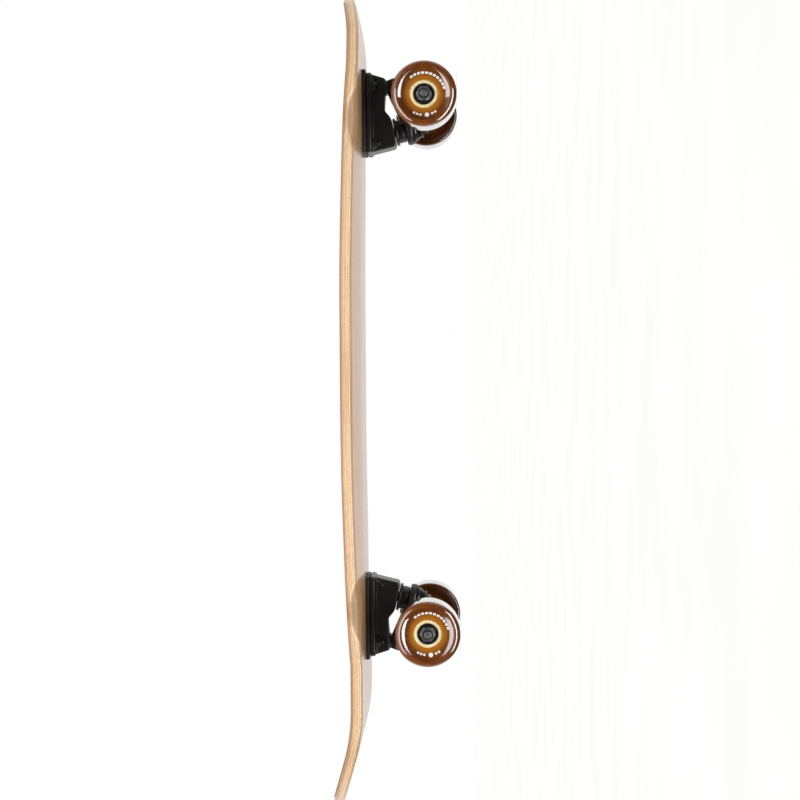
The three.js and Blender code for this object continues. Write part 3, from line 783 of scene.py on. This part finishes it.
class SKATEBOARD_OT_stage(bpy.types.Operator):
    """Sets up the camera, the white surroundings, the soft lights and the pale floor"""

    bl_idname = "skateboard.stage"
    bl_label = "Stage"

    def execute(self, context):
        settings = context.scene.skateboard_stage
        scene = context.scene
        scene.view_settings.view_transform = "Standard"
        scene.view_settings.look = "None"

        camera = bpy.data.cameras.new("camera")
        camera.lens, camera.sensor_width = settings.lens, 36
        camera.clip_start = 0.01
        viewer = bpy.data.objects.new("camera", camera)
        scene.collection.objects.link(viewer)
        # The view has the nose up and the deck to the left
        forward = Vector(CAMERA_TOWARD).normalized()
        nose_up = (Vector((1, 0, 0)) - forward * forward.x).normalized()
        right = forward.cross(nose_up)
        roll = math.radians(CAMERA_ROLL)
        across = right * math.cos(roll) - nose_up * math.sin(roll)
        up = nose_up * math.cos(roll) + right * math.sin(roll)
        turn = Matrix((across, up, -forward)).transposed().to_4x4()
        viewer.matrix_world = Matrix.Translation(CAMERA_PLACE) @ turn
        scene.camera = viewer

        world = bpy.data.worlds.new("studio")
        scene.world = world
        world.use_nodes = True
        tree = world.node_tree
        tree.nodes.clear()
        direction = add_node(tree, "ShaderNodeTexCoord").outputs["Generated"]
        parts = add_node(tree, "ShaderNodeSeparateXYZ", None, {0: direction})
        # Bright behind and to the sides, dim in front, brightest overhead
        behind = add_node(tree, "ShaderNodeMapRange", {"interpolation_type": "SMOOTHSTEP"},
                          {"Value": parts.outputs["Y"], "From Min": -0.5, "From Max": 0.05,
                           "To Min": settings.front, "To Max": settings.sides})
        above = add_node(tree, "ShaderNodeMapRange", {"interpolation_type": "SMOOTHSTEP"},
                         {"Value": parts.outputs["Z"], "From Min": 0.45, "From Max": 0.8,
                          "To Min": 0, "To Max": settings.overhead})
        brighter = add_node(tree, "ShaderNodeMath", {"operation": "MAXIMUM"},
                            {0: behind.outputs[0], 1: above.outputs[0]})
        below = add_node(tree, "ShaderNodeMapRange", {"interpolation_type": "SMOOTHSTEP"},
                         {"Value": parts.outputs["Z"], "From Min": -0.75, "From Max": -0.35,
                          "To Min": settings.below, "To Max": 1})
        radiance = add_node(tree, "ShaderNodeMath", {"operation": "MULTIPLY"},
                            {0: brighter.outputs[0], 1: below.outputs[0]})
        white = (1, 1, 1, 1)
        lit = add_node(tree, "ShaderNodeBackground", None,
                       {"Color": white, "Strength": radiance.outputs[0]})
        plain = add_node(tree, "ShaderNodeBackground", None, {"Color": white, "Strength": 1.0})
        seen = add_node(tree, "ShaderNodeLightPath").outputs["Is Camera Ray"]
        mixed = add_node(tree, "ShaderNodeMixShader", None,
                         {0: seen, 1: lit.outputs[0], 2: plain.outputs[0]})
        add_node(tree, "ShaderNodeOutputWorld", None, {"Surface": mixed.outputs[0]})

        # Two long soft boxes in front, above and below the board, light its rails from both sides and
        # draw thin white arcs on the wheels
        for name, place, radiance in (
            ("upper_box", UPPER_BOX_PLACE, settings.upper_box),
            ("lower_box", LOWER_BOX_PLACE, settings.lower_box),
        ):
            light = bpy.data.lights.new(name, "AREA")
            light.shape, light.size, light.size_y = "RECTANGLE", BOX_LENGTH, BOX_WIDTH
            light.energy = radiance * math.pi * light.size * light.size_y
            lamp = bpy.data.objects.new(name, light)
            scene.collection.objects.link(lamp)
            toward = (Vector((place[0], 0, 0.06)) - Vector(place)).normalized()
            side = Vector((1, 0, 0))
            turn = Matrix((side, (-toward).cross(side), -toward)).transposed().to_4x4()
            lamp.matrix_world = Matrix.Translation(place) @ turn
            lamp.visible_diffuse = name == "upper_box"

        form = bmesh.new()
        bmesh.ops.create_grid(form, x_segments=8, y_segments=8, size=FLOOR_HALF_WIDTH)
        mesh = bpy.data.meshes.new("floor")
        form.to_mesh(mesh)
        form.free()
        floor = bpy.data.objects.new("floor", mesh)
        scene.collection.objects.link(floor)
        # White painted studio floor: matt, faint roller texture 3 mm across
        material, tree, shader = new_material("Matt white floor paint")
        stipple = add_node(tree, "ShaderNodeTexNoise", None,
                           {"Vector": place_mm(tree), "Scale": 1 / 3, "Detail": 2}).outputs["Fac"]
        colour = ramp(tree, stipple, [(0.3, linear("f1f1f0")), (0.7, linear("f6f6f5"))])
        set_shader(tree, shader, {"Base Color": colour, "Roughness": 0.85, "IOR": 1.45})
        mesh.materials.append(material)
        # The lower box lies under the floor and lights gloss alone, so the floor is kept out of its way
        floor.visible_shadow = floor.visible_glossy = False
        return {"FINISHED"}


class SKATEBOARD_OT_deck(bpy.types.Operator):
    """Makes the pressed maple deck with its wheel wells, and the grit layer on its top"""

    bl_idname = "skateboard.deck"
    bl_label = "Deck"

    def execute(self, context):
        settings = context.scene.skateboard_deck
        top = settings.thickness
        form = pressed_sheet(settings, 0, top, 0, settings.rounding, True)
        deck = bare_object("maple_deck", form)
        sink = [
            (0, UNDERSIDE_Z - 8, 0), (2.9, UNDERSIDE_Z - 8, 0), (2.9, UNDERSIDE_Z + top - 3.6, 0),
            (5.3, UNDERSIDE_Z + top - 0.6, 0), (5.3, UNDERSIDE_Z + top + 8, 0), (0, UNDERSIDE_Z + top + 8, 0),
        ]
        drill(deck, at_every_bolt(lambda: turned(sink, 40)))
        mark_depth(deck, settings)
        put(deck, "deck", maple_plies(settings.core, settings.outer), ["deck"], 50)

        form = pressed_sheet(settings, top - 0.15, top + 1.05, 4, 0.5, False)
        grip = bare_object("grit_layer", form)
        drill(grip, at_every_bolt(lambda: rod(5.5, UNDERSIDE_Z + 2, UNDERSIDE_Z + 30)))
        put(grip, "deck", clear_grit(settings.under_grit), ["grip_layer"], 50)
        return {"FINISHED"}


class SKATEBOARD_OT_bases(bpy.types.Operator):
    """Makes the risers, baseplates, kingpins and the bolts and nuts that hold them to the deck"""

    bl_idname = "skateboard.bases"
    bl_label = "Truck bases"

    def execute(self, context):
        settings = context.scene.skateboard_trucks
        for end, matrix in TRUCKS.items():
            riser = bare_object(end + "_riser_pad", rounded_plate(80, 56, 5, -6, 57, 60.4, 0.6), matrix)
            drill(riser, [upright(rod(2.9, 50, 70), x, y) for _, x, y in BOLT_CENTRES], matrix)
            put(riser, "deck", black_plastic(), [end + "_riser"])
            self.make_baseplate(end, matrix, settings)
            self.make_kingpin(end, matrix)
            for name, x, y in BOLT_CENTRES:
                self.make_bolt(end, name, x, y, matrix)
            cup = bpy.data.objects[end + "_pivot_cup"]
            for slot in cup.material_slots:
                slot.material = rubber_black()
        return {"FINISHED"}

    def make_baseplate(self, end, matrix, settings):
        roof = FLANGE_BOTTOM + 1
        block = filleted([
            (-45, roof, 0), (-39.2, 28.4, 3.5), (-35.4, 27.9, 2), (-11.3, 32.96, 5),
            (-4.5, 39.8, 6), (3.5, 39.4, 5), (26, 37.5, 3), (30.6, roof, 0),
        ])
        forms = [
            rounded_plate(77, 54, 6, -7.5, FLANGE_BOTTOM, FLANGE_TOP, 1.2),
            prism(block, 15),
            along(rod(9.8, -3, 8.6, 1.5), PIVOT, STEERING_AXIS),
        ]
        plate = bare_object(end + "_base_casting", joined(forms), matrix)
        cast(plate, settings.grain, settings.softness)
        # Spot faces round the bolts, their holes, and the seats of the pivot cup and the kingpin
        cuts = [upright(rod(5.5, FLANGE_BOTTOM - 9, FLANGE_BOTTOM - 0.05, 0, 40), x, y)
                for _, x, y in BOLT_CENTRES]
        cuts += [upright(rod(2.9, 40, 60), x, y) for _, x, y in BOLT_CENTRES]
        cuts.append(along(rod(8.1, -11, 7.2, 0.3), PIVOT, STEERING_AXIS))
        cuts.append(along(rod(5, -40, 10), SEAT, KINGPIN_AXIS))
        cuts.append(along(rod(10, -50, -8), SEAT, KINGPIN_AXIS))
        cuts.append(along(rod(14.5, 0, 20, 0.4, 64), SEAT, KINGPIN_AXIS))
        drill(plate, cuts, matrix, True)
        put(plate, "deck", black_paint(), [end + "_baseplate"])

    def make_kingpin(self, end, matrix):
        corners = [(0, -9, 0), (4.75, -9, 0), (4.75, 26, 0)]
        corners += threads(4.75, 0.9, 26, 33.4) + [(4.2, 34, 0.2), (0, 34, 0)]
        forms = [turned(corners, 48, 1), hexagon(14, 0.01, -14.3, -8.4)]
        forms = [along(form, SEAT, KINGPIN_AXIS) for form in forms]
        pin = bare_object(end + "_kingpin_bolt", joined(forms), matrix)
        put(pin, "deck", black_steel(), [end + "_kingpin"], 30)
        form = along(hexagon(14.3, 5, 27.7, 31.4), SEAT, KINGPIN_AXIS)
        collar = along(tube(5, 6.4, 31.2, 33, 0.5), SEAT, KINGPIN_AXIS)
        lock = bare_object(end + "_kingpin_lock_nut", joined([form, collar]), matrix)
        put(lock, "deck", black_steel(), [end + "_kingpin_nut"], 30)
        upper = [(5, 0.3, 0.2), (12.4, 0.3, 0.8), (13.5, 1.0, 0.5), (13.5, 3.1, 0.4), (12.7, 3.1, 0.3),
                 (12.3, 1.6, 0.6), (5, 1.6, 0.2)]
        lower = [(5, 27.4, 0.2), (9.6, 27.4, 0.8), (10.5, 26.8, 0.5), (10.5, 24.8, 0.4), (9.8, 24.8, 0.3),
                 (9.4, 26.1, 0.5), (5, 26.1, 0.2)]
        for name, corners in (("upper", upper), ("lower", lower)):
            form = along(turned(corners), SEAT, KINGPIN_AXIS)
            washer = bare_object("{}_{}_cup_washer".format(end, name), form, matrix)
            put(washer, "deck", black_steel(), ["{}_{}_washer".format(end, name)], 40)
        barrel = [(5, 1.7, 0.3), (11.2, 1.7, 1.2), (11.6, 6.1, 5), (11.2, 10.6, 1.2), (6.3, 10.6, 0.3)]
        cone = [(6.3, 18.0, 0.3), (12.8, 18.0, 1.2), (12.6, 20.6, 3), (9.3, 24.9, 0.8), (8.9, 26.0, 0.3),
                (5, 26.0, 0.3)]
        for name, corners, ends in (("upper", barrel, UPPER_BUSHING), ("lower", cone, LOWER_BUSHING)):
            form = along(turned(corners, 64, 6), SEAT, KINGPIN_AXIS)
            bushing = bare_object("{}_{}_cushion".format(end, name), form, matrix)
            put(bushing, None, rubber_black(), ["{}_{}_bushing".format(end, name)], 40)
            # It is squeezed between the still washer and the ring that leans
            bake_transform(bushing)

    def make_bolt(self, end, name, x, y, matrix):
        top = TRUCK_HEIGHT + bpy.context.scene.skateboard_deck.thickness
        corners = [(0, 44, 0), (1.9, 44, 0)] + threads(2.4, 0.8, 44.6, 58) + [
            (2.4, 58.4, 0), (2.4, top - 3, 0.2), (4.9, top - 0.5, 0.2), (4.9, top, 0.3), (0, top, 0)]
        label = "{}_{}_{}".format(end, name, "machine_screw")
        screw = bare_object(label, upright(turned(corners, 32, 2), x, y), matrix)
        cross = []
        for turn in (0, math.pi / 2):
            arm = prism([(-2.5, top + 1), (-0.8, top - 2.3), (0.8, top - 2.3), (2.5, top + 1)], 0.5)
            arm.transform(Matrix.Translation((x, y, 0)) @ Matrix.Rotation(turn, 4, "Z"))
            cross.append(arm)
        drill(screw, cross, matrix, True)
        put(screw, "deck", black_steel(), ["{}_{}_bolt".format(end, name)], 30)
        nut_top = FLANGE_BOTTOM - 0.05
        forms = [upright(hexagon(9.5, 2.45, nut_top - 3.2, nut_top, 0.6), x, y),
                 upright(tube(2.45, 4.3, nut_top - 4.4, nut_top - 3, 0.4), x, y)]
        lock = bare_object("{}_{}_lock_nut".format(end, name), joined(forms), matrix)
        put(lock, "deck", black_steel(), ["{}_{}_nut".format(end, name)], 30)


class SKATEBOARD_OT_hangers(bpy.types.Operator):
    """Makes the two steering castings and their axles"""

    bl_idname = "skateboard.hangers"
    bl_label = "Hangers and axles"

    def execute(self, context):
        settings = context.scene.skateboard_trucks
        for end, matrix in TRUCKS.items():
            beam = [(0, -66, 0), (6.6, -66, 0.8), (7.2, -54, 8), (9.4, -24, 12), (10.8, 0, 14),
                    (9.4, 24, 12), (7.2, 54, 8), (6.6, 66, 0.8), (0, 66, 0)]
            web = filleted([
                (-9, -4, 0), (8, -3, 6), (11.5, 12, 8), (12, 26.4, 3), (7.5, 33.2, 2),
                (RING_CENTRE.x + 8, 22.2, 3), (RING_CENTRE.x + 4, 14.6, 3),
            ])
            forms = [
                turned(beam, 48, 8),
                prism(web, 7.5),
                along(rod(5.6, -18, 0.5, 0.2), PIVOT, STEERING_AXIS),
                along(turned([(0, -5, 0), (5.6, -5, 0), (5.6, 1, 2.5), (4, 4.4, 2.5), (0, 5.6, 0)], 48, 6),
                      PIVOT, STEERING_AXIS),
                along(rod(15.2, 10.6, 18, 2.2, 64), SEAT, KINGPIN_AXIS),
            ]
            hanger = bare_object(end + "_steering_casting", joined(forms), matrix)
            cast(hanger, settings.grain, settings.softness)
            cuts = [along(rod(6.7, 0, 40), SEAT, KINGPIN_AXIS),
                    along(rod(16, -10, 10.7, 0, 64), SEAT, KINGPIN_AXIS),
                    along(rod(13.6, 17.9, 26.2, 0, 64), SEAT, KINGPIN_AXIS),
                    along(rod(4.1, -80, 80), Vector((0, 0, 0)), Vector((0, 1, 0)))]
            for share in (-1, -0.5, 0, 0.5, 1):
                room = along(rod(11.5, 25, 45, 0, 48), SEAT, KINGPIN_AXIS)
                turn = Matrix.Rotation(math.radians(share * LEAN_LIMIT), 4, STEERING_AXIS)
                room.transform(Matrix.Translation(PIVOT) @ turn @ Matrix.Translation(-PIVOT))
                cuts.append(room)
            drill(hanger, cuts, matrix, True)
            put(hanger, end + "_hanger", black_paint(), [end + "_hanger"])

            half = [(3.95, THREAD_START, 0)] + threads(4, 1.06, THREAD_START, AXLE_END - 0.8)
            half += [(3.4, AXLE_END, 0.3), (0, AXLE_END, 0)]
            corners = [(r, -h, f) for r, h, f in reversed(half)] + half
            axle = bare_object(end + "_axle_rod", turned(corners, 48, 2), matrix)
            put(axle, end + "_hanger", zinc_steel(), [end + "_axle"], 30)
            for side, toward in (("left", 1), ("right", -1)):
                if end == "rear":
                    toward = -toward
                self.make_axle_fittings(end, side, toward, matrix)
        return {"FINISHED"}

    def make_axle_fittings(self, end, side, toward, matrix):
        body = end + "_hanger"
        turn = matrix if toward > 0 else matrix @ Matrix.Rotation(math.pi, 4, "Z")
        lock = bare_object("{}_{}_lock_nut".format(end, side), hexagon(12.7, 4.05, 92.2, 97.2), turn)
        put(lock, body, zinc_steel(), ["{}_{}_axle_nut".format(end, side)], 30)
        collar = bare_object("{}_{}_nut_collar".format(end, side), tube(4.6, 5.9, 97, 98.8, 0.6), turn)
        put(collar, body, zinc_steel(), (), 30)
        insert = bare_object("{}_{}_nut_insert".format(end, side), tube(3.9, 4.65, 97, 98.4, 0.2), turn)
        put(insert, body, rubber_black(), (), 30)
        for place, start in (("inner", 66.1), ("outer", 91.15)):
            washer = bare_object("{}_{}_{}_speed_washer".format(end, side, place),
                                 tube(4.05, 6.0, start, start + 0.85, 0.15), turn)
            put(washer, body, zinc_steel(), (), 30)
        spacer = bpy.data.objects["{}_{}_spacer".format(end, side)]
        for slot in spacer.material_slots:
            slot.material = zinc_steel()


class SKATEBOARD_OT_wheels(bpy.types.Operator):
    """Makes the four urethane wheels with their cores and shielded bearings"""

    bl_idname = "skateboard.wheels"
    bl_label = "Wheels and bearings"

    def execute(self, context):
        settings = context.scene.skateboard_wheels
        for end, axle_x in (("front", FRONT_AXLE_X), ("rear", REAR_AXLE_X)):
            for side, toward in (("left", 1), ("right", -1)):
                matrix = Matrix.Translation((axle_x, toward * WHEEL_CENTRE, AXLE_Z))
                if toward < 0:
                    matrix = matrix @ Matrix.Rotation(math.pi, 4, "Z")
                self.make_wheel("{}_{}".format(end, side), matrix, settings)
        return {"FINISHED"}

    def make_wheel(self, name, matrix, settings):
        body, radius = name + "_wheel", settings.radius
        # A bowl that steepens outwards, a short wall up to the lip, and a rounded shoulder
        bowl = [BOWL_START]
        for step in range(1, 12):
            tilt = math.radians(3 + 21 * (step / 11) ** 1.2)
            bowl.append((BOWL_START[0] + step, bowl[-1][1] + math.tan(tilt)))
        lip = [(25.2, 20.7)]
        for step in range(1, 8):
            tilt = math.radians(5 + 30 * step / 7)
            lip.append((25.2 + 0.5 * step, lip[-1][1] - 0.5 * math.tan(tilt)))
        face = [(12.9, 12.3, 0.2)] + [(r, h, 0.3) for r, h in bowl + lip]
        face += [(30.3, 17.4, 1.6), (radius, 13, 3)]
        # The inner face is a plain cone
        inner = [(12.9, 12.3, 0.2), (13.8, 12.6, 0.5), (25.5, 20.2, 1.5), (28.8, 20.8, 1.2),
                 (30.3, 19.4, 1.0), (radius, 13, 0)]
        other = [(r, -h, f) for r, h, f in inner]
        tyre = bare_object(name + "_tyre", turned(other + face[::-1], 144, 4), matrix)
        reach = tyre.data.attributes.new("from_axle", "FLOAT", "POINT")
        for vertex in tyre.data.vertices:
            at = matrix.inverted() @ (vertex.co / MM)
            reach.data[vertex.index].value = math.hypot(at.x, at.z)
        urethane = cast_urethane(settings.colour, settings.amber, settings.depth)
        put(tyre, body, urethane, [name + "_wheel"], 60)
        self.make_print(name, matrix, body, bowl)
        # The core holds both bearings, and its lip shows inside the tyre
        bore = [(8.4, 4.7, 0), (11.05, 4.7, 0), (11.05, 12.1, 0), (9.9, 12.15, 0.1), (10.0, 12.9, 0.3),
                (12.2, 13.6, 0.5), (13.0, 12.3, 0)]
        other = [(r, -h, f) for r, h, f in bore]
        core = bare_object(name + "_core", turned(other + bore[::-1], 96, 4), matrix)
        put(core, body, ivory_nylon(), (), 40)
        for place, toward in (("outer", 1), ("inner", -1)):
            turn = matrix @ Matrix.Translation((0, BEARING_OFFSET * toward, 0))
            if toward < 0:
                turn = turn @ Matrix.Rotation(math.pi, 4, "Z")
            label = "{}_{}".format(name, place)
            races = joined([tube(9.5, 11, -3.5, 3.5, 0.35, 96), tube(4.05, 5.9, -3.5, 3.5, 0.25, 96)])
            bearing = bare_object(label + "_races", races, turn)
            put(bearing, body, zinc_steel(), [label + "_bearing"], 30)
            corners = [(5.8, 2.0, 0), (9.6, 2.0, 0), (9.6, 3.1, 0.2), (8.9, 3.25, 0.3), (8.5, 2.95, 0.2),
                       (6.9, 2.95, 0.2), (6.5, 3.2, 0.3), (5.8, 3.1, 0.2)]
            behind = [(r, -h, f) for r, h, f in corners]
            shields = joined([turned(corners, 96, 3), turned(behind, 96, 3)])
            shield = bare_object(label + "_shields", shields, turn)
            put(shield, body, rubber_black(), (), 30)

    def make_print(self, name, matrix, body, bowl):
        """Plain white dashes and a dot, printed on the dished face."""
        dashes = [(start, start + 8) for start in range(140, 256, 11)]
        dashes += [(start, start + 6) for start in (7, 16, 25, 325, 334)]
        form = bmesh.new()
        for start, end in dashes:
            rows = []
            for i in range(7):
                a = math.radians(start + (end - start) * i / 6)
                rows.append([form.verts.new((r * math.cos(a), h + PRINT_SWELL["dash"], r * math.sin(a)))
                             for r, h in bowl[5:8]])
            for a, b in zip(rows, rows[1:]):
                form.faces.new((a[0], a[1], b[1], b[0]))
                form.faces.new((a[1], a[2], b[2], b[1]))
        dot = []
        for i in range(24):
            x, z = 19.4 + 2.1 * math.cos(math.pi * i / 12), -2.7 + 2.1 * math.sin(math.pi * i / 12)
            out = math.hypot(x, z) - BOWL_START[0]
            step = min(10, max(0, int(out)))
            part = out - step
            height = bowl[step][1] + part * (bowl[step + 1][1] - bowl[step][1])
            dot.append(form.verts.new((x, height + PRINT_SWELL["dot"], z)))
        form.faces.new(dot)
        ink = bare_object(name + "_print", form, matrix)
        put(ink, body, white_ink())


class SKATEBOARD_PT_panel(bpy.types.Panel):
    """Lists the groups of pieces and their settings"""

    bl_idname = "SKATEBOARD_PT_panel"
    bl_label = "Skateboard"
    bl_space_type = "VIEW_3D"
    bl_region_type = "UI"
    bl_category = "Skateboard"

    def draw(self, context):
        layout, scene = self.layout, context.scene
        for operator, group in (("stage", "stage"), ("deck", "deck"), ("bases", "trucks"),
                                ("hangers", "trucks"), ("wheels", "wheels")):
            layout.operator("skateboard." + operator)
            settings = getattr(scene, "skateboard_" + group)
            for name in settings.bl_rna.properties.keys():
                if name not in ("rna_type", "name"):
                    layout.prop(settings, name)


CLASSES = (
    DeckSettings, TruckSettings, WheelSettings, StageSettings,
    SKATEBOARD_OT_stage, SKATEBOARD_OT_deck, SKATEBOARD_OT_bases, SKATEBOARD_OT_hangers,
    SKATEBOARD_OT_wheels, SKATEBOARD_PT_panel,
)


def register():
    for cls in CLASSES:
        bpy.utils.register_class(cls)
    bpy.types.Scene.skateboard_deck = PointerProperty(type=DeckSettings)
    bpy.types.Scene.skateboard_trucks = PointerProperty(type=TruckSettings)
    bpy.types.Scene.skateboard_wheels = PointerProperty(type=WheelSettings)
    bpy.types.Scene.skateboard_stage = PointerProperty(type=StageSettings)


def unregister():
    for name in ("deck", "trucks", "wheels", "stage"):
        delattr(bpy.types.Scene, "skateboard_" + name)
    for cls in reversed(CLASSES):
        bpy.utils.unregister_class(cls)


def main():
    register()
    bpy.ops.skateboard.stage()
    bpy.ops.skateboard.deck()
    bpy.ops.skateboard.bases()
    bpy.ops.skateboard.hangers()
    bpy.ops.skateboard.wheels()


if __name__ == "__main__":
    main()
